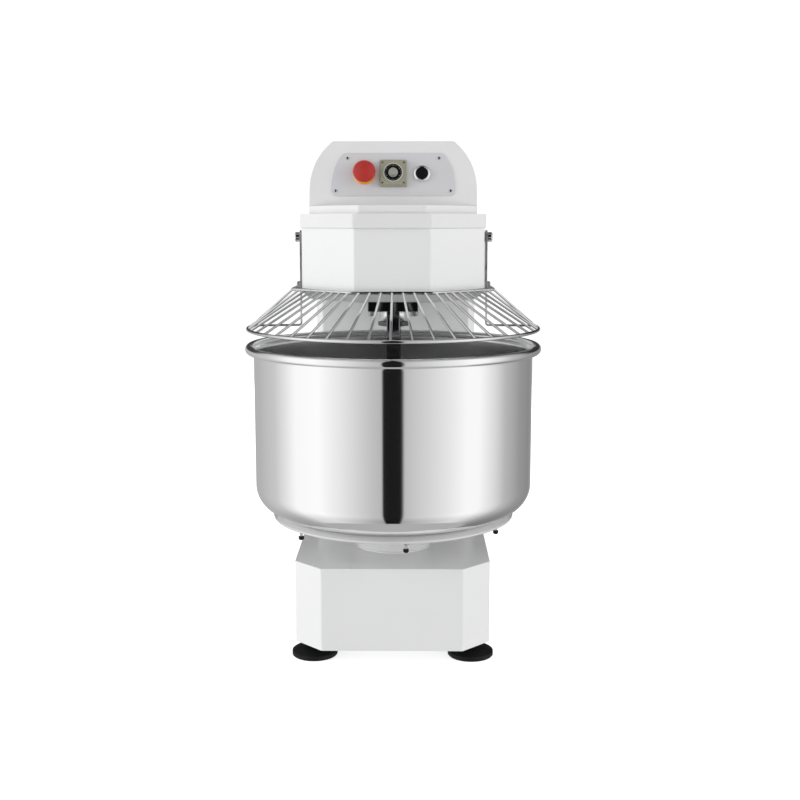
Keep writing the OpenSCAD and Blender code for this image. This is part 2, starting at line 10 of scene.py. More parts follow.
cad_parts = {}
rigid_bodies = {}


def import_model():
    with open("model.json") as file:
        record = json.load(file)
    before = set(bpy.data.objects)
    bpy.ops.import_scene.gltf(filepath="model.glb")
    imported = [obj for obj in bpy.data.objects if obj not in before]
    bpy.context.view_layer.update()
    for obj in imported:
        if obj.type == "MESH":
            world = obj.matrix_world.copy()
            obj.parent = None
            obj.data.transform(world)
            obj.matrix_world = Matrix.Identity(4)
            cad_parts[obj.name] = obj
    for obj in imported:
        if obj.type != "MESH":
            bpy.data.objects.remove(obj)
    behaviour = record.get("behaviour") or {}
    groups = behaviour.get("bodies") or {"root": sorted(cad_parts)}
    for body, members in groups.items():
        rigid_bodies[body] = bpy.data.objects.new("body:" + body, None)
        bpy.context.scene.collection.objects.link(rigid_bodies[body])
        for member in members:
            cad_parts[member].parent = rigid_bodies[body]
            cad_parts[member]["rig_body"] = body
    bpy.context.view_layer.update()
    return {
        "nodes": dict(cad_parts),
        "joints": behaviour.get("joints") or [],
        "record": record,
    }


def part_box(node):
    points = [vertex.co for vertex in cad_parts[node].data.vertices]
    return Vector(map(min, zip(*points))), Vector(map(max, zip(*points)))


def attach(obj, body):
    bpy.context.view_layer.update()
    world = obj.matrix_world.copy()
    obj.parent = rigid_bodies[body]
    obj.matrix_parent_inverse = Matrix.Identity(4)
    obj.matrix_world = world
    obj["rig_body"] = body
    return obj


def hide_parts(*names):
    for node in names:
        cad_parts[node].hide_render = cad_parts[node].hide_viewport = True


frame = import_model()
nodes = frame["nodes"]
joints = {joint["name"]: joint for joint in frame["joints"]}
MM = 0.001


def mm(*points):
    """Points given in millimetres, as tuples in metres."""
    return [tuple(number * MM for number in point) for point in points]


def middle(node):
    low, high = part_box(node)
    return (low + high) / 2


# ---------- camera, light and floor ----------

BOWL_AXIS = Vector((0, joints["bowl_spin"]["pos_m"][1], 0))


def add_camera():
    data = bpy.data.cameras.new("camera")
    data.sensor_width = 36
    data.lens = 52.0
    camera = bpy.data.objects.new("camera", data)
    aside, distance, height = 0.033, 2.076, 0.7654
    down, turn = 8.77, 0.573
    camera.location = (aside, BOWL_AXIS.y - distance, height)
    camera.rotation_euler = (radians(90 - down), 0, radians(turn))
    bpy.context.scene.collection.objects.link(camera)
    bpy.context.scene.camera = camera


def add_area_light(name, place, target, size, power):
    data = bpy.data.lights.new(name, "AREA")
    data.shape = "RECTANGLE"
    data.size, data.size_y = size
    data.energy = power
    light = bpy.data.objects.new(name, data)
    light.location = place
    light.rotation_euler = (Vector(target) - Vector(place)).to_track_quat("-Z", "Y").to_euler()
    bpy.context.scene.collection.objects.link(light)
    return light


# Brightness of the studio round the machine, by turn to the right from the camera's side, in degrees.
STUDIO = [(-180, 0.42), (-140, 0.48), (-112, 0.60), (-98, 0.80), (-85, 1.02), (-62, 1.06), (-42, 0.86),
          (-16, 0.56), (-8.3, 0.50), (-7.2, 0.012), (8.1, 0.012), (9.3, 0.52), (18, 0.60), (30, 0.70),
          (46, 0.84), (62, 1.00), (74, 1.00), (92, 0.72), (104, 0.50), (127, 0.32), (150, 0.26), (180, 0.42)]


def world_math(tree, operation, *values):
    """Math node on sockets or numbers; returns its output."""
    node = tree.nodes.new("ShaderNodeMath")
    node.operation = operation
    for socket, value in zip(node.inputs, values):
        if isinstance(value, bpy.types.NodeSocket):
            tree.links.new(value, socket)
        else:
            socket.default_value = value
    return node.outputs[0]


def world_range(tree, value, start, end, first, last):
    """Smooth change from first to last while value goes from start to end."""
    node = tree.nodes.new("ShaderNodeMapRange")
    node.interpolation_type = "SMOOTHSTEP"
    tree.links.new(value, node.inputs["Value"])
    for name, number in (("From Min", start), ("From Max", end), ("To Min", first), ("To Max", last)):
        node.inputs[name].default_value = number
    return node.outputs["Result"]


def add_studio():
    """White surroundings for the camera. Light and reflections get soft boxes with a dark gap between."""
    world = bpy.data.worlds.new("studio")
    bpy.context.scene.world = world
    world.use_nodes = True
    tree = world.node_tree
    tree.nodes.clear()
    add = tree.nodes.new
    link = tree.links.new
    split = add("ShaderNodeSeparateXYZ")
    link(add("ShaderNodeTexCoord").outputs["Generated"], split.inputs[0])
    across, away, up = split.outputs
    turn = world_math(tree, "ARCTAN2", across, world_math(tree, "MULTIPLY", away, -1))
    ramp = add("ShaderNodeValToRGB")
    stops = ramp.color_ramp.elements
    stops.remove(stops[1])
    for i, (angle, level) in enumerate(STUDIO):
        place = (angle + 180) / 360
        stop = stops[0] if i == 0 else stops.new(place)
        stop.position = place
        stop.color = (level, level, level, 1)
    link(world_math(tree, "MULTIPLY_ADD", turn, 0.5 / pi, 0.5), ramp.inputs["Fac"])
    behind = world_math(tree, "MULTIPLY", world_range(tree, away, 0.35, 0.8, 0, 1),
                        world_range(tree, up, -0.02, 0.12, 0, 1))
    dim = world_math(tree, "MULTIPLY", world_range(tree, behind, 0, 1, 1, 0.12),
                     world_range(tree, up, 0.55, 0.9, 1, 0.55))
    dim = world_math(tree, "MULTIPLY", dim, world_range(tree, up, -0.45, -0.8, 1, 0.72))
    studio = add("ShaderNodeBackground")
    below = add("ShaderNodeMix")
    below.data_type = "RGBA"
    share, ring_colour, under_colour = below.inputs[0], below.inputs[6], below.inputs[7]
    link(world_range(tree, up, -0.83, -0.87, 0, 1), share)
    link(ramp.outputs["Color"], ring_colour)
    under_colour.default_value = (0.6, 0.6, 0.6, 1)
    link(below.outputs[2], studio.inputs["Color"])
    link(dim, studio.inputs["Strength"])
    white = add("ShaderNodeBackground")
    white.inputs["Color"].default_value = (1, 1, 1, 1)
    white.inputs["Strength"].default_value = 1.05
    mix = add("ShaderNodeMixShader")
    link(add("ShaderNodeLightPath").outputs["Is Camera Ray"], mix.inputs["Fac"])
    link(studio.outputs[0], mix.inputs[1])
    link(white.outputs[0], mix.inputs[2])
    link(mix.outputs[0], add("ShaderNodeOutputWorld").inputs["Surface"])
    world.cycles.sampling_method = "MANUAL"
    world.cycles.sample_map_resolution = 2048


# Name, place, size and power in watts.
FILL_LIGHTS = [("fill_left", (-2.9, -0.95, 1.15), (1.6, 1.8), 34),
               ("fill_right", (2.9, -0.95, 1.15), (1.6, 1.8), 26),
               ("fill_low", (0, -2.6, 0.35), (1.6, 0.5), 9),
               ("fill_rear", (0, 3.0, 1.3), (2.0, 2.0), 30)]


def add_fill_lights():
    """Soft light on the painted panels that the polished parts don't mirror."""
    target = (0, 0.05, 0.45)
    for name, place, size, power in FILL_LIGHTS:
        add_area_light(name, place, target, size, power).visible_glossy = False


def add_floor():
    mesh = bpy.data.meshes.new("floor")
    half = 12
    corners = [(-half, -half, 0), (half, -half, 0), (half, half, 0), (-half, half, 0)]
    mesh.from_pydata(corners, [], [(0, 1, 2, 3)])
    floor = bpy.data.objects.new("floor", mesh)
    bpy.context.scene.collection.objects.link(floor)
    floor.visible_glossy = False
    floor.visible_diffuse = False
    material, shader, tree = new_material("floor")
    shader.inputs["Base Color"].default_value = (0.82, 0.82, 0.82, 1)
    shader.inputs["Roughness"].default_value = 0.9
    shader.inputs["Specular IOR Level"].default_value = 0.0
    shader.inputs["Emission Color"].default_value = (1, 1, 1, 1)
    shader.inputs["Emission Strength"].default_value = 0.75
    mesh.materials.append(material)


# ---------- materials ----------


def new_material(name):
    material = bpy.data.materials.new(name)
    material.use_nodes = True
    tree = material.node_tree
    return material, tree.nodes["Principled BSDF"], tree


def object_noise(tree, scale, detail=3.0, stretch=(1, 1, 1)):
    """Noise fixed to the object, in features of about 1/scale metre, stretched along each axis."""
    place = tree.nodes.new("ShaderNodeTexCoord")
    mapping = tree.nodes.new("ShaderNodeMapping")
    mapping.inputs["Scale"].default_value = stretch
    noise = tree.nodes.new("ShaderNodeTexNoise")
    noise.inputs["Scale"].default_value = scale
    noise.inputs["Detail"].default_value = detail
    tree.links.new(place.outputs["Object"], mapping.inputs["Vector"])
    tree.links.new(mapping.outputs["Vector"], noise.inputs["Vector"])
    return noise


def vary(tree, noise, low, high, socket):
    """Drives a number between low and high by a noise."""
    span = tree.nodes.new("ShaderNodeMapRange")
    span.inputs["From Min"].default_value = 0.3
    span.inputs["From Max"].default_value = 0.7
    span.inputs["To Min"].default_value = low
    span.inputs["To Max"].default_value = high
    tree.links.new(noise.outputs["Fac"], span.inputs["Value"])
    tree.links.new(span.outputs["Result"], socket)


def tint(tree, noise, colour, spread, shader):
    """Base colour that drifts by spread of its own value."""
    ramp = tree.nodes.new("ShaderNodeValToRGB")
    ramp.color_ramp.elements[0].position = 0.3
    ramp.color_ramp.elements[1].position = 0.7
    ramp.color_ramp.elements[0].color = (*[c * (1 - spread) for c in colour], 1)
    ramp.color_ramp.elements[1].color = (*[min(1, c * (1 + spread)) for c in colour], 1)
    tree.links.new(noise.outputs["Fac"], ramp.inputs["Fac"])
    tree.links.new(ramp.outputs["Color"], shader.inputs["Base Color"])


def bump(tree, noise, height, shader, strength=1.0):
    node = tree.nodes.new("ShaderNodeBump")
    node.inputs["Distance"].default_value = height
    node.inputs["Strength"].default_value = strength
    tree.links.new(noise.outputs["Fac"], node.inputs["Height"])
    tree.links.new(node.outputs["Normal"], shader.inputs["Normal"])


def painted(name, colour, rough=0.32, coat=0.35):
    """Powder coat: a faint orange peel under a thin gloss."""
    material, shader, tree = new_material(name)
    tint(tree, object_noise(tree, 7, 4), colour, 0.012, shader)
    vary(tree, object_noise(tree, 40), rough - 0.04, rough + 0.06, shader.inputs["Roughness"])
    bump(tree, object_noise(tree, 650, 2), 0.00006, shader)
    shader.inputs["Coat Weight"].default_value = coat
    shader.inputs["Coat Roughness"].default_value = 0.12
    return material


def moulded(name, colour, rough=0.42, grain=900, depth=0.00008, shine=0.5):
    """Moulded plastic with a fine grain."""
    material, shader, tree = new_material(name)
    shader.inputs["Specular IOR Level"].default_value = shine
    tint(tree, object_noise(tree, 9, 3), colour, 0.02, shader)
    vary(tree, object_noise(tree, 60), rough - 0.05, rough + 0.07, shader.inputs["Roughness"])
    bump(tree, object_noise(tree, grain, 2), depth, shader)
    return material


def metal(name, colour, rough, spread=0.04, stretch=(1, 1, 1), scale=180, depth=0.00002, wear=0.03):
    """Worked metal whose fine marks run across the stretched axes."""
    material, shader, tree = new_material(name)
    shader.inputs["Metallic"].default_value = 1.0
    marks = object_noise(tree, scale, 5, stretch)
    tint(tree, marks, colour, wear, shader)
    vary(tree, marks, max(0.03, rough - spread), rough + spread, shader.inputs["Roughness"])
    bump(tree, marks, depth, shader)
    return material


def rubber(name, colour):
    material, shader, tree = new_material(name)
    tint(tree, object_noise(tree, 25, 4), colour, 0.15, shader)
    shader.inputs["Specular IOR Level"].default_value = 0.25
    vary(tree, object_noise(tree, 90), 0.45, 0.62, shader.inputs["Roughness"])
    bump(tree, object_noise(tree, 1400, 2), 0.0001, shader)
    return material


def bowl_steel(name, colour, spread, rough):
    """Polished stainless sheet with fine turning marks round the bowl and a streaky cloudiness."""
    material, shader, tree = new_material(name)
    shader.inputs["Metallic"].default_value = 1.0
    place = tree.nodes.new("ShaderNodeTexCoord")
    split = tree.nodes.new("ShaderNodeSeparateXYZ")
    tree.links.new(place.outputs["Object"], split.inputs[0])
    rings = tree.nodes.new("ShaderNodeTexNoise")
    rings.noise_dimensions = "1D"
    rings.inputs["Scale"].default_value = 900
    rings.inputs["Detail"].default_value = 4
    tree.links.new(split.outputs["Z"], rings.inputs["W"])
    tint(tree, object_noise(tree, 6, 3, (1, 1, 0.25)), colour, spread, shader)
    vary(tree, rings, rough - 0.015, rough + 0.015, shader.inputs["Roughness"])
    bump(tree, rings, 0.000006, shader, 0.5)
    return material


def make_materials():
    return {
        "white_paint": painted("white_paint", (0.875, 0.885, 0.878)),
        # The dish takes a greyed copy of the white enamel: painted shade for the dark it sits in under the
        # bowl.
        "white_enamel": painted("white_enamel", (0.88, 0.88, 0.88), 0.16, 0.8),
        "dish_enamel_painted_shade": painted("dish_enamel_painted_shade", (0.70, 0.70, 0.70), 0.08, 1.0),
        "hood_plastic": moulded("hood_plastic", (0.83, 0.83, 0.835), 0.36, 1200, 0.00004),
        "panel_grey": moulded("panel_grey", (0.66, 0.66, 0.68), 0.38, 1600, 0.00003),
        "bowl_steel": bowl_steel("bowl_steel", (0.93, 0.93, 0.935), 0.018, 0.06),
        "bowl_inside": bowl_steel("bowl_inside", (0.88, 0.88, 0.885), 0.09, 0.23),
        # Steel colour darkened to 0.26: painted dark reflection that makes the breaker bar and spiral read
        # black.
        "bar_steel": metal("bar_steel", (0.26, 0.26, 0.27), 0.06, 0.02, (1, 1, 0.05), 260, 0.000004),
        "bright_wire": metal("bright_wire", (0.84, 0.84, 0.85), 0.06, 0.02, (1, 1, 1), 420, 0.000004),
        "plain_steel": metal("plain_steel", (0.60, 0.60, 0.61), 0.28, 0.08, (1, 1, 0.2), 320),
        "dark_steel": metal("dark_steel", (0.20, 0.20, 0.21), 0.36, 0.10, (1, 1, 1), 240, 0.00003, 0.2),
        "cast_grey": painted("cast_grey", (0.18, 0.19, 0.20), 0.5, 0.1),
        "motor_paint": painted("motor_paint", (0.06, 0.12, 0.22), 0.4, 0.2),
        "black_rubber": rubber("black_rubber", (0.007, 0.007, 0.007)),
        "black_plastic": moulded("black_plastic", (0.006, 0.006, 0.007), 0.34, 900, 0.00003, 0.12),
        "red_plastic": moulded("red_plastic", (0.46, 0.028, 0.022), 0.36, 900, 0.00005),
        "yellow_plastic": moulded("yellow_plastic", (0.85, 0.36, 0.02), 0.4),
        "timer_beige": moulded("timer_beige", (0.34, 0.335, 0.25), 0.36),
        "timer_silver": moulded("timer_silver", (0.50, 0.50, 0.45), 0.28),
        "timer_dial": moulded("timer_dial", (0.33, 0.33, 0.30), 0.24),
        "box_grey": moulded("box_grey", (0.38, 0.39, 0.40), 0.5),
    }


# ---------- mesh helpers ----------


def make_object(name, bm, material, smooth_angle=35):
    """Turns a bmesh into an object with that material, smooth but for its sharp edges."""
    bmesh.ops.recalc_face_normals(bm, faces=bm.faces)
    mesh = bpy.data.meshes.new(name)
    bm.to_mesh(mesh)
    bm.free()
    for face in mesh.polygons:
        face.use_smooth = True
    mesh.set_sharp_from_angle(angle=radians(smooth_angle))
    mesh.materials.append(materials[material])
    obj = bpy.data.objects.new(name, mesh)
    bpy.context.scene.collection.objects.link(obj)
    obj["look_slot"] = RECORD_SLOT.get(material, material)
    return obj


def keep_flats(obj):
    """Weighted normals, so that flat faces stay flat beside their rounded edges."""
    modifier = obj.modifiers.new("flats", "WEIGHTED_NORMAL")
    modifier.keep_sharp = True
    return obj


def stand_for(obj, *cad_nodes):
    """Puts a piece on its CAD nodes' body in their place."""
    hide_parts(*cad_nodes)
    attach(obj, nodes[cad_nodes[0]]["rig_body"])


def extra(obj, body):
    """Adds a detail to a body without replacing anything."""
    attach(obj, body)


def loft(bm, loops, cap_start=True):
    """Skin through loops of equal length, closed at the end and, if wanted, at the start."""
    rows = [[bm.verts.new(p) for p in loop] for loop in loops]
    for low, high in zip(rows, rows[1:]):
        for i in range(len(low)):
            j = (i + 1) % len(low)
            bm.faces.new((low[i], low[j], high[j], high[i]))
    if cap_start:
        bm.faces.new(list(reversed(rows[0])))
    bm.faces.new(rows[-1])


def lathe(bm, profile, steps, place):
    """Turns (radius, height) points about Z. Points at radius 0 close the form."""
    rows = []
    for radius, height in profile:
        if radius < 1e-7:
            rows.append([bm.verts.new(place @ Vector((0, 0, height)))])
        else:
            rows.append([bm.verts.new(place @ Vector((radius * cos(a), radius * sin(a), height)))
                         for a in (2 * pi * i / steps for i in range(steps))])
    for low, high in zip(rows, rows[1:]):
        for i in range(steps):
            j = (i + 1) % steps
            corners = [low[i % len(low)], low[j % len(low)], high[j % len(high)], high[i % len(high)]]
            corners = [v for k, v in enumerate(corners) if v not in corners[:k]]
            if len(corners) > 2:
                bm.faces.new(corners)


def arc(x, y, radius, start, end, steps):
    """Points along an arc, in degrees."""
    return [(x + radius * cos(radians(start + (end - start) * i / steps)),
             y + radius * sin(radians(start + (end - start) * i / steps))) for i in range(steps + 1)]


def rounded(points, radius, steps=6, keep=()):
    """Closed outline with its corners rounded, but for those whose index is in keep."""
    out = []
    count = len(points)
    for i, point in enumerate(points):
        here = Vector(point)
        before = (Vector(points[i - 1]) - here).normalized()
        after = (Vector(points[(i + 1) % count]) - here).normalized()
        half = acos(max(-1, min(1, before.dot(after)))) / 2
        if i in keep or half > radians(89):
            out.append(tuple(here))
            continue
        reach = radius / tan(half)
        centre = here + (before + after).normalized() * radius / sin(half)
        first = here + before * reach - centre
        turn = first.angle_signed(here + after * reach - centre)
        for k in range(steps + 1):
            spin = Matrix.Rotation(-turn * k / steps, 2)
            out.append(tuple(centre + spin @ first))
    return out


def nose_outline(half_w, front, back, flat_half, inset=0.0):
    """Plan outline with two 45 degree corners in front, pulled in by inset on every side but the rear."""
    w = half_w - inset
    f = flat_half - inset * tan(radians(22.5))
    y = front + inset
    return [(-f, y), (f, y), (w, y + w - f), (w, back), (-w, back), (-w, y + w - f)]


def lift(outline, z):
    return [Vector((x, y, z)) for x, y in outline]


def bevel(bm, width, segments, wanted):
    edges = [e for e in bm.edges if wanted(e)]
    bmesh.ops.bevel(bm, geom=edges, offset=width, segments=segments, profile=0.5, affect="EDGES",
                    clamp_overlap=True)


def sharp(edge, angle):
    return len(edge.link_faces) == 2 and edge.calc_face_angle(0) > radians(angle)


def at_height(edge, z):
    slack = 0.4 * MM
    return all(abs(v.co.z - z) < slack for v in edge.verts)


# Rings that close the end of a round bar: how far out, as a share of the dome, and how wide.
DOME = [(0.0, 1.0), (0.4, 0.95), (0.8, 0.75), (1.0, 0.35)]


def tube(bm, points, radius, sides):
    """Round bar through points, with domed ends."""
    points = [Vector(p) for p in points]
    along = [(points[min(i + 1, len(points) - 1)] - points[max(i - 1, 0)]).normalized()
             for i in range(len(points))]
    across = along[0].orthogonal().normalized()
    loops = []
    for i, here in enumerate(points):
        across = (across - along[i] * across.dot(along[i])).normalized()
        other = along[i].cross(across)
        ring = [(across * cos(a) + other * sin(a)) for a in (2 * pi * k / sides for k in range(sides))]
        domes = [(0.0, 1.0)]
        if i == 0:
            domes = [(-out * 0.45, size) for out, size in reversed(DOME)]
        if i == len(points) - 1:
            domes = [(out * 0.45, size) for out, size in DOME]
        for out, size in domes:
            centre = here + along[i] * radius * out
            loops.append([centre + spoke * radius * size for spoke in ring])
    loft(bm, loops)


def block(bm, low, high, width=0.0, segments=3, place=Matrix.Identity(4)):
    """Box with rounded edges."""
    part = bmesh.new()
    bmesh.ops.create_cube(part, size=1)
    size = Vector(high) - Vector(low)
    centre = (Vector(high) + Vector(low)) / 2
    bmesh.ops.scale(part, vec=size, verts=part.verts)
    bmesh.ops.translate(part, vec=centre, verts=part.verts)
    if width:
        bevel(part, width, segments, lambda e: True)
    merge(bm, part, place)


def merge(bm, part, place=Matrix.Identity(4)):
    """Adds one bmesh to another and frees it."""
    bmesh.ops.transform(part, matrix=place, verts=part.verts)
    mesh = bpy.data.meshes.new("part")
    part.to_mesh(mesh)
    part.free()
    bm.from_mesh(mesh)
    bpy.data.meshes.remove(mesh)


def hexagon(bm, radius, z0, z1, place, width):
    """Hexagon nut or bolt head with broken edges."""
    part = bmesh.new()
    loops = [[Vector((radius * cos(a), radius * sin(a), z)) for a in (pi * k / 3 for k in range(6))]
             for z in (z0, z1)]
    loft(part, loops)
    bevel(part, width, 2, lambda e: True)
    merge(bm, part, place)


def softened(node, width):
    """Copy of a CAD node with its sharp edges rounded."""
    bm = bmesh.new()
    bm.from_mesh(nodes[node].data)
    bmesh.ops.remove_doubles(bm, verts=bm.verts, dist=0.00002)
    bmesh.ops.dissolve_limit(bm, angle_limit=radians(0.5), verts=bm.verts, edges=bm.edges)
    bevel(bm, width, 2, lambda e: sharp(e, 28))
    return bm


materials = {}
# Materials that go under another slot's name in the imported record.
RECORD_SLOT = {"bowl_inside": "bowl_steel", "dish_enamel_painted_shade": "white_enamel", "timer_dial": "timer_silver"}
SLOT_OF = {row["node"]: row["material_slot"] for row in frame["record"]["subparts"]}


def dress_cad_nodes():
    """Every CAD node takes the full material of its slot."""
    for node in nodes:
        mesh = nodes[node].data
        mesh.materials.clear()
        mesh.materials.append(materials[SLOT_OF[node]])


# ---------- sheet metal ----------

SHEET = 3 * MM
BEND = 5 * MM
HEAD_FLAT = 65 * MM
# Places of the two rear corners in a nose outline, which stay sharp.
REAR_CORNERS = (3, 4)


def sheet_tube(name, outline, z0, z1):
    """Bent sheet wall, open above, below and behind."""
    bm = bmesh.new()
    outer = rounded(outline, BEND, keep=REAR_CORNERS)
    rear_left = outer.index(max(outer, key=lambda p: (p[1], -p[0])))
    path = outer[rear_left:] + outer[:rear_left]
    rows = [[bm.verts.new((x, y, z)) for x, y in path] for z in (z0, z1)]
    for i in range(len(path) - 1):
        bm.faces.new((rows[0][i], rows[0][i + 1], rows[1][i + 1], rows[1][i]))
    bmesh.ops.recalc_face_normals(bm, faces=bm.faces)
    face = next(f for f in bm.faces if f.calc_center_median().y < min(p[1] for p in path) + 1e-4)
    if face.normal.y > 0:
        bmesh.ops.reverse_faces(bm, faces=bm.faces)
    return thicken(bm, name)


def thicken(bm, name):
    """Gives an open skin the thickness of the sheet, inward, and rounds the cut edges a little."""
    mesh = bpy.data.meshes.new(name)
    bm.to_mesh(mesh)
    bm.free()
    obj = bpy.data.objects.new("skin", mesh)
    bpy.context.scene.collection.objects.link(obj)
    solid = obj.modifiers.new("thickness", "SOLIDIFY")
    solid.thickness = SHEET
    solid.offset = -1
    solid.use_even_offset = True
    result = bmesh.new()
    result.from_object(obj, bpy.context.evaluated_depsgraph_get())
    bpy.data.objects.remove(obj)
    bpy.data.meshes.remove(mesh)
    bevel(result, 0.6 * MM, 2, lambda e: sharp(e, 60))
    return result


def make_base():
    """Box open below and behind, with a narrow flange down each rear edge."""
    low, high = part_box("base_housing")
    chamfer = 48.5 * MM
    outline = rounded(nose_outline(high.x, low.y, high.y, high.x - chamfer), BEND, keep=REAR_CORNERS)
    bm = bmesh.new()
    loft(bm, [lift(outline, low.z), lift(outline, high.z)], cap_start=False)
    bevel(bm, 3 * MM, 4, lambda e: at_height(e, high.z) and sharp(e, 60))
    rear = [f for f in bm.faces if f.calc_center_median().y > high.y - 1e-4]
    bmesh.ops.delete(bm, geom=rear, context="FACES")
    shell = thicken(bm, "base")
    near, far = (high.y - 3.5 * MM, low.z + 0.5 * MM), (high.y - 0.5 * MM, high.z - 1 * MM)
    for x0, x1 in ((-high.x + 1.5 * MM, -high.x + 13 * MM), (high.x - 13 * MM, high.x - 1.5 * MM)):
        block(shell, (x0, *near), (x1, *far), 0.3 * MM, 1)
    stand_for(keep_flats(make_object("base_shell", shell, "white_paint")), "base_housing")


def make_column():
    low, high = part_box("column_housing")
    chamfer = 13 * MM
    outline = nose_outline(high.x, low.y, high.y, high.x - chamfer)
    bm = sheet_tube("column", outline, low.z, high.z)
    stand_for(keep_flats(make_object("column_shell", bm, "white_paint")), "column_housing")


def make_head():
    low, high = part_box("head_housing")
    outline = nose_outline(high.x, low.y, high.y, HEAD_FLAT)
    bm = sheet_tube("head", outline, low.z, high.z)
    stand_for(keep_flats(make_object("head_shell", bm, "white_paint")), "head_housing")


def make_pan():
    """Underside of the head: walls that slope inward to a flat bottom."""
    low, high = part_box("head_pan")
    steps = [(0.0, high.z), (0.8 * MM, high.z - 1.2 * MM), (14 * MM, low.z + 1.2 * MM),
             (15.2 * MM, low.z + 0.4 * MM), (17 * MM, low.z), (30 * MM, low.z)]
    loops = []
    for inset, z in steps:
        outline = nose_outline(high.x, low.y, high.y, HEAD_FLAT, inset)
        loops.append(lift(rounded(outline, BEND, keep=REAR_CORNERS), z))
    bm = bmesh.new()
    loft(bm, loops, cap_start=False)
    stand_for(keep_flats(make_object("head_underside", thicken(bm, "pan"), "white_paint", 50)), "head_pan")


def make_rear_cover():
    panel = make_object("rear_panel", softened("rear_cover", 0.7 * MM), "white_paint")
    stand_for(keep_flats(panel), "rear_cover")
    bm = bmesh.new()
    low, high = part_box("housing_screws")
    radius, pitch = 5 * MM, 130 * MM
    profile = mm((0, 0), (5, 0), (5, 1.2), (4.2, 2.4), (2.4, 3), (1.6, 3), (1.6, 1.6), (0, 1.6))
    for side in (-1, 1):
        for k in range(6):
            place = Matrix.Translation((side * (high.x - radius), low.y, low.z + radius + pitch * k))
            lathe(bm, profile, 24, place @ Matrix.Rotation(-pi / 2, 4, "X"))
    stand_for(make_object("rear_screws", bm, "plain_steel"), "housing_screws")


# ---------- hood and panel ----------

PANEL_AXIS = -Vector(joints["timer_turn"]["axis"])
PANEL_MID = Vector(joints["timer_turn"]["pos_m"])
PANEL_TILT = atan2(PANEL_AXIS.z, -PANEL_AXIS.y)
PLATE_THICK = 1.5 * MM


def on_panel(x, up=0.0):
    """Frame on the panel's face: x across, y up the slope, z outward."""
    turn = Matrix.Rotation(pi / 2 - PANEL_TILT, 4, "X")
    return Matrix.Translation(PANEL_MID) @ turn @ Matrix.Translation((x, up, 0))


def hood_curve(half_w, low_z, top_z, radius, arc_drop):
    """Front outline of the hood above the lip, from lower right over the top to lower left."""
    arc_z = top_z - arc_drop
    end = 90 - 180 / pi * acos((top_z - arc_z) / radius)
    right = arc(half_w - radius, arc_z, radius, 0, end, 14)
    left = [(-x, z) for x, z in reversed(right)]
    return [(half_w, low_z)] + right + left + [(-half_w, low_z)]


def hood_cove(half_w, foot_y, shelf):
    """Small fillet where the sloping face of the hood meets the shelf in front of it."""
    radius, sunk, end_gap = 3 * MM, 0.2 * MM, 6 * MM
    angles = (radians(90 - PANEL_TILT * 180 / pi) * k / 6 for k in range(7))
    section = [(0.0, 0.0)] + [(-radius + radius * sin(a), radius - radius * cos(a)) for a in angles]
    ends = []
    for x in (-half_w + end_gap, half_w - end_gap):
        ends.append([Vector((x, foot_y + y + sunk, shelf + z - sunk)) for y, z in section])
    cove = bmesh.new()
    loft(cove, ends)
    return cove


def make_hood():
    """Crown with the sloping panel face, a nose in front of it and a lip all round."""
    low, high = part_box("top_hood")
    lip_top = low.z + 24 * MM
    shelf = low.z + 38 * MM
    half_w = 148.5 * MM
    overlap = 6 * MM
    slope = tan(PANEL_TILT)
    foot_y = PANEL_MID.y - (PANEL_MID.z - shelf) * slope
    outline = hood_curve(half_w, lip_top - overlap, high.z, 107 * MM, 84 * MM)
    front = [Vector((x, foot_y + (z - shelf) * slope, z)) for x, z in outline]
    back = [Vector((x, high.y - 8 * MM - (z - shelf) * 16 / 111, z)) for x, z in outline]
    crown = bmesh.new()
    loft(crown, [front, back])
    bevel(crown, 10 * MM, 6, lambda e: sharp(e, 50) and min(v.co.z for v in e.verts) > lip_top)
    lip = bmesh.new()
    lip_plan = rounded(nose_outline(high.x, low.y, high.y, 67 * MM), 8 * MM, keep=REAR_CORNERS)
    loft(lip, [lift(lip_plan, low.z), lift(lip_plan, lip_top)])
    bevel(lip, 2.5 * MM, 4, lambda e: at_height(e, lip_top) and sharp(e, 60))
    nose = bmesh.new()
    nose_plan = nose_outline(half_w + 0.15 * MM, low.y + 18 * MM, foot_y + overlap, 58 * MM)
    nose_plan = rounded(nose_plan, 8 * MM, keep=REAR_CORNERS)
    loft(nose, [lift(nose_plan, lip_top - overlap), lift(nose_plan, shelf)])
    bevel(nose, 4 * MM, 5, lambda e: at_height(e, shelf) and sharp(e, 60))
    for part in (lip, nose, hood_cove(half_w, foot_y, shelf)):
        merge(crown, part)
    stand_for(keep_flats(make_object("hood", crown, "hood_plastic", 40)), "top_hood")


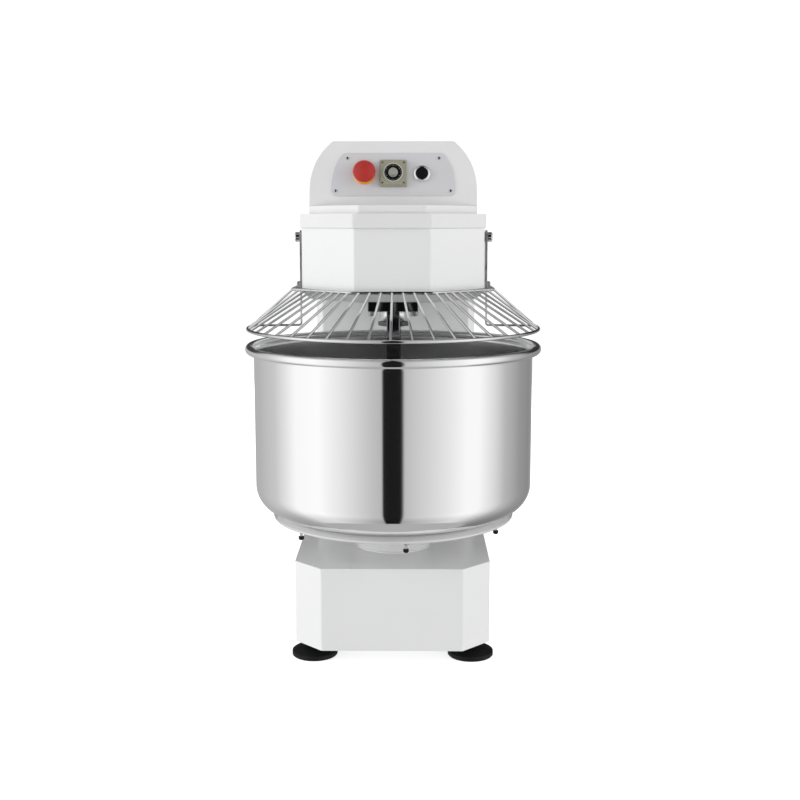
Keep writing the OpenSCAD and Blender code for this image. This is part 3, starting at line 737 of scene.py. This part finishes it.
def make_plate():
    """Plate that narrows upward along a curve, and its four screws, each with a black bar on its head as
    painted shade for its slot.
    """
    bm = bmesh.new()
    foot, tall = -40 * MM, 79 * MM
    foot_half, narrowing = 110 * MM, 21.5 * MM
    side = [(foot_half - narrowing * k ** 3, foot + tall * k) for k in (0, 0.2, 0.35, 0.5, 0.65, 0.8, 1)]
    between_corners = (*range(1, 6), *range(8, 13))
    outline = rounded(side + [(-x, y) for x, y in reversed(side)], 9 * MM, 6, keep=between_corners)
    loft(bm, [lift(outline, 0), lift(outline, PLATE_THICK)])
    bevel(bm, 0.5 * MM, 2, lambda e: at_height(e, PLATE_THICK) and sharp(e, 60))
    bmesh.ops.transform(bm, matrix=on_panel(0), verts=bm.verts)
    stand_for(keep_flats(make_object("control_panel", bm, "panel_grey")), "control_plate")
    screws = bmesh.new()
    slot_shade_bars = bmesh.new()
    screw_head = mm((0, 0), (2.6, 0), (2.6, 0.8), (2, 1.3), (0, 1.4))
    for sign in (-1, 1):
        for x, up in mm((102, -31), (81.5, 29)):
            place = on_panel(sign * x, up) @ Matrix.Translation((0, 0, PLATE_THICK))
            lathe(screws, screw_head, 20, place)
            # Black bar laid on each screw head: painted shade standing in for the slot.
            block(slot_shade_bars, *mm((-0.8, -2.5, 1), (0.8, 2.5, 1.5)), 0.1 * MM, 1, place)
    stand_for(make_object("panel_screws", screws, "plain_steel"), "plate_screws")
    extra(make_object("panel_screw_slot_shade", slot_shade_bars, "black_plastic"), "stand")


def make_estop():
    place = on_panel(middle("estop_button").x)
    collar = bmesh.new()
    shoulder = arc(18 * MM, 5.5 * MM, 1 * MM, 0, 90, 4)
    lathe(collar, mm((9, 1.5), (19, 1.5)) + shoulder + mm((15.5, 8), (9, 8), (9, 1.5)), 64, place)
    stand_for(make_object("stop_collar", collar, "yellow_plastic"), "estop_collar")
    head = bmesh.new()
    rim = arc(17.6 * MM, 17.2 * MM, 2.4 * MM, -75, 55, 8)
    dome = [(r * MM, (24.9 - (r / 20) ** 2 * 4.4) * MM) for r in (17.5, 14.5, 11, 7.5, 4)]
    underside = mm((0, 12.5), (8.5, 12.5), (9.5, 13), (14.5, 14))
    lathe(head, underside + rim + dome + mm((0, 25)), 64, place)
    stand_for(make_object("stop_mushroom", head, "red_plastic"), "estop_button")


def make_timer():
    place = on_panel(0)
    body = bmesh.new()
    block(body, *mm((-24, -24, 1.5), (24, 24, 8.5)), 1.2 * MM, 3, place)
    block(body, *mm((-22, -22, 8), (22, 22, 10.3)), 0.6 * MM, 2, place)
    stand_for(keep_flats(make_object("timer_case", body, "timer_beige")), "timer_body")
    ring = bmesh.new()
    profile = mm((15.4, 10), (17.6, 10), (17.6, 11.9), (17, 12.5), (15.9, 12.5), (15.4, 11.9), (15.4, 10))
    lathe(ring, profile, 64, place)
    extra(make_object("timer_ring", ring, "timer_silver"), "stand")
    scale = bmesh.new()
    lathe(scale, mm((7, 10), (15.5, 10), (15.5, 11.3), (9, 10.9), (7, 10.9), (7, 10)), 64, place)
    extra(make_object("timer_scale", scale, "black_plastic"), "stand")
    marks = bmesh.new()
    mark_count, mark_end = 24, 14
    for k in range(mark_count):
        turn = place @ Matrix.Rotation(2 * pi * k / mark_count, 4, "Z")
        length = 2.0 if k % 4 == 0 else 1.0
        block(marks, *mm((-0.3, mark_end - length, 11), (0.3, mark_end, 11.5)), 0, 1, turn)
    extra(make_object("timer_marks", marks, "timer_silver"), "stand")
    corners = bmesh.new()
    for side_x, side_y in ((-1, 1), (1, 1), (1, -1), (-1, -1)):
        spot = place @ Matrix.Translation((side_x * 19 * MM, side_y * 18.5 * MM, 0))
        lathe(corners, mm((0, 10.2), (1.9, 10.2), (1.7, 10.6), (0, 10.7)), 20, spot)
    extra(make_object("timer_corner_screws", corners, "dark_steel"), "stand")
    knob = bmesh.new()
    lathe(knob, mm((0, 11), (8.6, 11), (8.6, 11.5), (7.4, 12), (7, 17.5), (6.2, 18.6), (0, 19)), 48, place)
    block(knob, *mm((-0.6, 1.5, 18.4), (0.6, 6, 19.4)), 0.2 * MM, 1, place)
    stand_for(make_object("timer_dial", knob, "timer_dial"), "timer_knob")


def make_start():
    place = on_panel(middle("start_button").x)
    bezel = bmesh.new()
    shoulder = arc(13.2 * MM, 4.2 * MM, 1.8 * MM, 0, 60, 5)
    profile = mm((11.2, 1.5), (15, 1.5), (15, 3)) + shoulder + mm((12.2, 7), (11.2, 6.8), (11.2, 1.5))
    lathe(bezel, profile, 64, place)
    stand_for(make_object("start_ring", bezel, "bright_wire"), "start_bezel")
    cap = bmesh.new()
    lathe(cap, mm((0, 4.7), (11, 4.7), (11, 6.2), (10.4, 7), (8.5, 6.6), (0, 6.2)), 48, place)
    stand_for(make_object("start_cap", cap, "black_plastic"), "start_button")


# ---------- bowl and turntable ----------


def bowl_place():
    return Matrix.Translation((BOWL_AXIS.x, BOWL_AXIS.y, 0))


def make_bowl():
    """Bowl with a rolled rim. The inside takes a duller steel than the outside."""
    low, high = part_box("bowl_shell")
    rim_r = high.x
    wall_r = 250 * MM
    corner = 47 * MM
    wall = 2.5 * MM
    bead = 7 * MM
    flat_r = 90 * MM
    bead_x, bead_z = rim_r - bead, high.z - bead
    outer = [(0, low.z), (flat_r, low.z), (wall_r - corner, low.z)]
    outer += arc(wall_r - corner, low.z + corner, corner, -90, 0, 20)[1:]
    outer += [(wall_r, z) for z in (0.36, 0.40, 0.44, 0.48, 0.52, 0.528)]
    flare = arc(wall_r + 10 * MM, 530 * MM, 10 * MM, 180, 140, 5)
    roll = arc(bead_x, bead_z - 2 * MM, bead, 235, 360, 12) + arc(bead_x, bead_z, bead, 0, 180, 18)
    inner = arc(wall_r + 11.5 * MM, 533 * MM, 14 * MM, 140, 180, 5)
    inner += [(wall_r - wall, z) for z in (0.52, 0.46, 0.40, 0.36)]
    inner += arc(wall_r - corner, low.z + corner, corner - wall, 0, -90, 20)
    inner += [(flat_r, low.z + wall), (0, low.z + wall)]
    bm = bmesh.new()
    lathe(bm, outer + flare + roll + inner, 192, bowl_place())
    bowl = make_object("bowl", bm, "bowl_steel", 50)
    bowl.data.materials.append(materials["bowl_inside"])
    for face in bowl.data.polygons:
        from_axis = (face.center - bowl_place().translation).to_2d()
        radius, height = from_axis.length, face.center.z
        faces_axis = face.normal.to_2d().dot(from_axis) < 0
        within = radius < wall_r - 1 * MM and height > low.z + 1 * MM
        inside = within and (faces_axis or face.normal.z > 0.5)
        flare_inside = height > 531 * MM and radius < wall_r + 5 * MM and faces_axis
        face.material_index = int(inside or flare_inside)
    stand_for(bowl, "bowl_shell")


def make_turntable():
    """Dish with a raised rim, and its ring of capped studs."""
    low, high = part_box("turntable")
    rim = high.x
    top = high.z - 0.5 * MM
    floor = low.z + 4 * MM
    bore_r, boss_r = 20.1 * MM, 60 * MM
    profile = [(bore_r, low.z), (rim - 5 * MM, low.z)]
    profile += arc(rim - 2.5 * MM, low.z + 3.5 * MM, 2.5 * MM, -70, 0, 4)
    profile += arc(rim - 1.5 * MM, low.z + 4.5 * MM, 1.5 * MM, 0, 70, 4)
    profile += [(rim - 9 * MM, top - 3.2 * MM), (rim - 15 * MM, top)]
    profile += [(rim - 31 * MM, top), (rim - 31 * MM, floor)]
    profile += [(boss_r, floor), (boss_r, high.z), (bore_r, high.z), (bore_r, low.z)]
    bm = bmesh.new()
    lathe(bm, profile, 192, bowl_place())
    # Greyed copy of the white enamel on the dish: painted shade under the bowl.
    stand_for(make_object("turntable_dish", bm, "dish_enamel_painted_shade", 40), "turntable")
    caps = bmesh.new()
    studs = bmesh.new()
    cap_low, cap_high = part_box("stud_caps")
    stud_low, stud_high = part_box("turntable_studs")
    cap = [(0, cap_low.z), (3.2 * MM, cap_low.z), (4.8 * MM, cap_low.z + 1.8 * MM),
           (4.8 * MM, cap_high.z - 0.6 * MM), (4.2 * MM, cap_high.z), (0, cap_high.z)]
    shank_r, shank_top = 2.6 * MM, stud_high.z - 4 * MM
    shank = [(0, stud_low.z), (shank_r, stud_low.z), (shank_r, shank_top), (0, shank_top)]
    for k in range(6):
        place = bowl_place() @ Matrix.Rotation(radians(60 * k + 7), 4, "Z")
        place = place @ Matrix.Translation((0, 20 * MM - rim, 0))
        lathe(caps, cap, 28, place)
        hexagon(studs, 6 * MM, stud_high.z - 5 * MM, stud_high.z, place, 0.6 * MM)
        lathe(studs, shank, 24, place)
    stand_for(make_object("dish_stud_caps", caps, "black_rubber"), "stud_caps")
    stand_for(make_object("dish_studs", studs, "plain_steel"), "turntable_studs")


def make_hub():
    low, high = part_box("bowl_hub")
    base_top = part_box("base_housing")[1].z
    bore_r = 42.2 * MM
    profile = [(bore_r, low.z), (60 * MM, low.z), (60 * MM, base_top), (69 * MM, base_top)]
    profile += arc(66 * MM, base_top + 6 * MM, 5 * MM, -60, 0, 4) + [(71 * MM, high.z - 3 * MM)]
    profile += arc(68.5 * MM, high.z - 2.5 * MM, 2.5 * MM, 0, 90, 3) + [(bore_r, high.z), (bore_r, low.z)]
    bm = bmesh.new()
    lathe(bm, profile, 96, bowl_place())
    stand_for(make_object("hub", bm, "white_enamel", 40), "bowl_hub")


# ---------- spiral and breaker bar ----------


def make_spiral():
    bm = bmesh.new()
    bm.from_mesh(nodes["spiral_hook"].data)
    bmesh.ops.remove_doubles(bm, verts=bm.verts, dist=0.00002)
    bmesh.ops.dissolve_limit(bm, angle_limit=radians(0.2), verts=bm.verts, edges=bm.edges)
    soft_below = 330 * MM
    bevel(bm, 5 * MM, 4, lambda e: sharp(e, 60) and e.verts[0].co.z < soft_below)
    stand_for(make_object("spiral_arm", bm, "bar_steel", 60), "spiral_hook")
    axis = Matrix.Translation((0, joints["spiral_spin"]["pos_m"][1], 0))
    low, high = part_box("spiral_collar")
    collar = bmesh.new()
    radius, bore_r = high.x, 15.1 * MM
    groove_r = radius - 0.8 * MM
    profile = [(bore_r, low.z), (radius - 1.5 * MM, low.z)]
    profile += arc(radius - 1.5 * MM, low.z + 1.5 * MM, 1.5 * MM, -90, 0, 3)
    profile += [(radius, low.z + 17 * MM), (groove_r, low.z + 17.6 * MM), (groove_r, low.z + 18.6 * MM)]
    profile += [(radius, low.z + 19.2 * MM), (radius, high.z), (bore_r, high.z), (bore_r, low.z)]
    lathe(collar, profile, 64, axis)
    stand_for(make_object("spiral_sleeve", collar, "bright_wire"), "spiral_collar")
    low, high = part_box("spiral_flange")
    flange = bmesh.new()
    hexagon(flange, (high.x - low.x) / 2, low.z, high.z, axis, 1.2 * MM)
    stand_for(keep_flats(make_object("spiral_nut", flange, "dark_steel")), "spiral_flange")
    low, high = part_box("spiral_housing")
    bore_r = 26.1 * MM
    profile = [(bore_r, low.z), (32.5 * MM, low.z), (34 * MM, low.z + 1.5 * MM)]
    profile += mm((34, 635), (55, 635), (55, 643), (40, 643))
    profile += [(40 * MM, high.z), (bore_r, high.z), (bore_r, low.z)]
    housing = bmesh.new()
    lathe(housing, profile, 72, axis)
    stand_for(make_object("spiral_bearing_house", housing, "bar_steel"), "spiral_housing")


def make_breaker():
    low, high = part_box("breaker_bar")
    y = (low.y + high.y) / 2
    bm = bmesh.new()
    block(bm, (low.x, low.y, 607 * MM), (high.x, high.y, high.z), 1.2 * MM, 3)
    half_w, half_t = 11.75 * MM, 10 * MM
    block(bm, (-half_w, y - half_t, low.z), (half_w, y + half_t, 609 * MM), 1.6 * MM, 3)
    stand_for(keep_flats(make_object("breaker", bm, "bar_steel")), "breaker_bar")
    bolts = bmesh.new()
    low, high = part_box("breaker_bolts")
    for side in (-1, 1):
        hexagon(bolts, 7 * MM, low.z, high.z, Matrix.Translation((side * 38 * MM, y, 0)), 0.7 * MM)
    stand_for(keep_flats(make_object("breaker_bolt_heads", bolts, "plain_steel")), "breaker_bolts")


# ---------- guard ----------

# Spokes on each side of the middle one, their spacing along the bar and their step round the ring.
SPOKES = 12
SPOKE_PITCH = 18.5 * MM
SPOKE_STEP = 8
RING_Z = middle("guard_ring").z
WIRE = 3 * MM
RING_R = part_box("guard_ring")[1].x - WIRE
BAR_Z = middle("guard_top_bar").z
BAR_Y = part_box("guard_top_bar")[0].y + WIRE
BAR_HALF = 73 * MM
BAR_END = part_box("guard_top_bar")[1].x - WIRE
PIVOT = Vector(joints["guard_lift"]["pos_m"])
RING_END = 98


def ring_point(angle):
    """Point on the lower ring, in degrees from the front."""
    return Vector((RING_R * sin(radians(angle)), BOWL_AXIS.y - RING_R * cos(radians(angle)), RING_Z))


def bar_point(distance):
    """Point on the upper bar, by distance from its middle along the bar."""
    side = 1 if distance > 0 else -1
    over = max(0, abs(distance) - BAR_HALF) / sqrt(2)
    return Vector((side * (min(abs(distance), BAR_HALF) + over), BAR_Y + over, BAR_Z))


def make_guard():
    ring = bmesh.new()
    tube(ring, [ring_point(RING_END * k / 60) for k in range(-60, 61)], WIRE, 20)
    stand_for(make_object("guard_lower_ring", ring, "bright_wire", 60), "guard_ring")
    run = BAR_END - BAR_HALF
    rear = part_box("guard_top_bar")[1].y
    bend_r = 12 * MM
    cut = bend_r * tan(radians(22.5))
    right = arc(BAR_HALF - cut, BAR_Y + bend_r, bend_r, 270, 315, 6)
    right += arc(BAR_END - bend_r, BAR_Y + run + cut, bend_r, 315, 360, 6) + [(BAR_END, rear)]
    path = [(-x, y) for x, y in reversed(right)] + right
    bar = bmesh.new()
    tube(bar, [(x, y, BAR_Z) for x, y in path], WIRE, 20)
    stand_for(make_object("guard_upper_bar", bar, "bright_wire", 60), "guard_top_bar")
    spokes = bmesh.new()
    for k in range(-SPOKES, SPOKES + 1):
        tube(spokes, [bar_point(k * SPOKE_PITCH), ring_point(SPOKE_STEP * k)], 2.2 * MM, 14)
    stand_for(make_object("guard_wires", spokes, "bright_wire", 60), "guard_spokes")
    make_guard_arms()


def make_guard_arms():
    """Flat arms with rounded tops, their feet, and the bent rods that run to the ring."""
    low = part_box("guard_arms")[0]
    arms = bmesh.new()
    inner = 167 * MM
    thick = 4 * MM
    y = PIVOT.y
    top_r = 10 * MM
    for side in (-1, 1):
        part = bmesh.new()
        outline = [(y - top_r, low.z), (y + top_r, low.z), (y + top_r, PIVOT.z + 2 * MM)]
        outline += arc(y, PIVOT.z + 2 * MM, top_r, 0, 180, 12)[1:]
        loops = [[Vector((side * x, py, pz)) for py, pz in outline] for x in (inner, inner + thick)]
        loft(part, loops)
        bevel(part, 0.6 * MM, 2, lambda e: sharp(e, 60))
        merge(arms, part)
        x0, x1 = sorted((side * (inner + thick), side * (inner + thick + 6 * MM)))
        block(arms, (x0, y - 12 * MM, low.z), (x1, y + 12 * MM, low.z + 18 * MM), 1.2 * MM, 3)
    stand_for(keep_flats(make_object("guard_side_arms", arms, "plain_steel")), "guard_arms")
    braces = bmesh.new()
    upward = Vector((0, 0, 1))
    bend = 5 * MM
    for side in (-1, 1):
        foot = Vector((side * 170 * MM, y - 6 * MM, RING_Z))
        end = ring_point(side * RING_END)
        out = (end - foot).normalized()
        centre = foot + (out + upward) * bend
        spread = (out * cos(radians(a)) + upward * sin(radians(a)) for a in range(0, 91, 15))
        curve = [centre - spoke * bend for spoke in spread]
        tube(braces, [Vector((foot.x, foot.y, low.z + 0.5 * MM))] + curve + [end], 2 * MM, 16)
    stand_for(make_object("guard_brace_rods", braces, "bright_wire", 60), "guard_braces")
    make_guard_knobs()


def make_guard_knobs():
    """Scalloped hand knobs on the outside of both arms."""
    low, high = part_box("guard_knobs")
    knobs = bmesh.new()
    radius = (high.z - low.z) / 2
    thick, lobes, steps = 9 * MM, 12, 96
    # Height in millimetres and share of the radius.
    profile = [(0.0, 0.93), (1.0, 0.93), (1.4, 0.98), (7.0, 1.0), (8.3, 0.94), (9.0, 0.8)]
    for side in (-1, 1):
        place = Matrix.Translation((side * (high.x - thick), PIVOT.y, PIVOT.z))
        place = place @ Matrix.Rotation(side * pi / 2, 4, "Y")
        loops = []
        for z, size in profile:
            loop = []
            for angle in (2 * pi * i / steps for i in range(steps)):
                reach = radius * size * (0.965 + 0.035 * cos(lobes * angle))
                loop.append(Vector((reach * cos(angle), reach * sin(angle), z * MM)))
            loops.append(loop)
        part = bmesh.new()
        loft(part, loops)
        merge(knobs, part, place)
    stand_for(make_object("guard_hand_knobs", knobs, "bright_wire", 20), "guard_knobs")


# ---------- feet and small parts ----------


def make_feet():
    low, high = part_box("foot_pads")
    radius = 40.5 * MM
    pads = bmesh.new()
    profile = [(0, 0), (radius - 1.5 * MM, 0), (radius, 1.5 * MM), (radius, 7.5 * MM)]
    profile += arc(radius - 2 * MM, 7.5 * MM, 2 * MM, 0, 70, 4)
    profile += [(r * MM, (20 - ((r - 14) / 24.5) ** 1.6 * 10.3) * MM) for r in (36, 31, 26, 21, 17, 14)]
    profile += [(0, 20 * MM)]
    for x in (low.x + radius, high.x - radius):
        for y in (low.y + radius, high.y - radius):
            lathe(pads, profile, 64, Matrix.Translation((x, y, 0)))
    stand_for(make_object("foot_discs", pads, "black_rubber", 40), "foot_pads")
    stand_for(make_object("foot_studs", softened("foot_stems", 0.8 * MM), "plain_steel"), "foot_stems")


def main():
    add_camera()
    add_studio()
    add_fill_lights()
    materials.update(make_materials())
    add_floor()
    dress_cad_nodes()
    make_base()
    make_column()
    make_head()
    make_pan()
    make_rear_cover()
    make_hood()
    make_plate()
    make_estop()
    make_timer()
    make_start()
    make_bowl()
    make_turntable()
    make_hub()
    make_spiral()
    make_breaker()
    make_guard()
    make_feet()


bpy.context.scene.view_settings.view_transform = "Standard"
main()
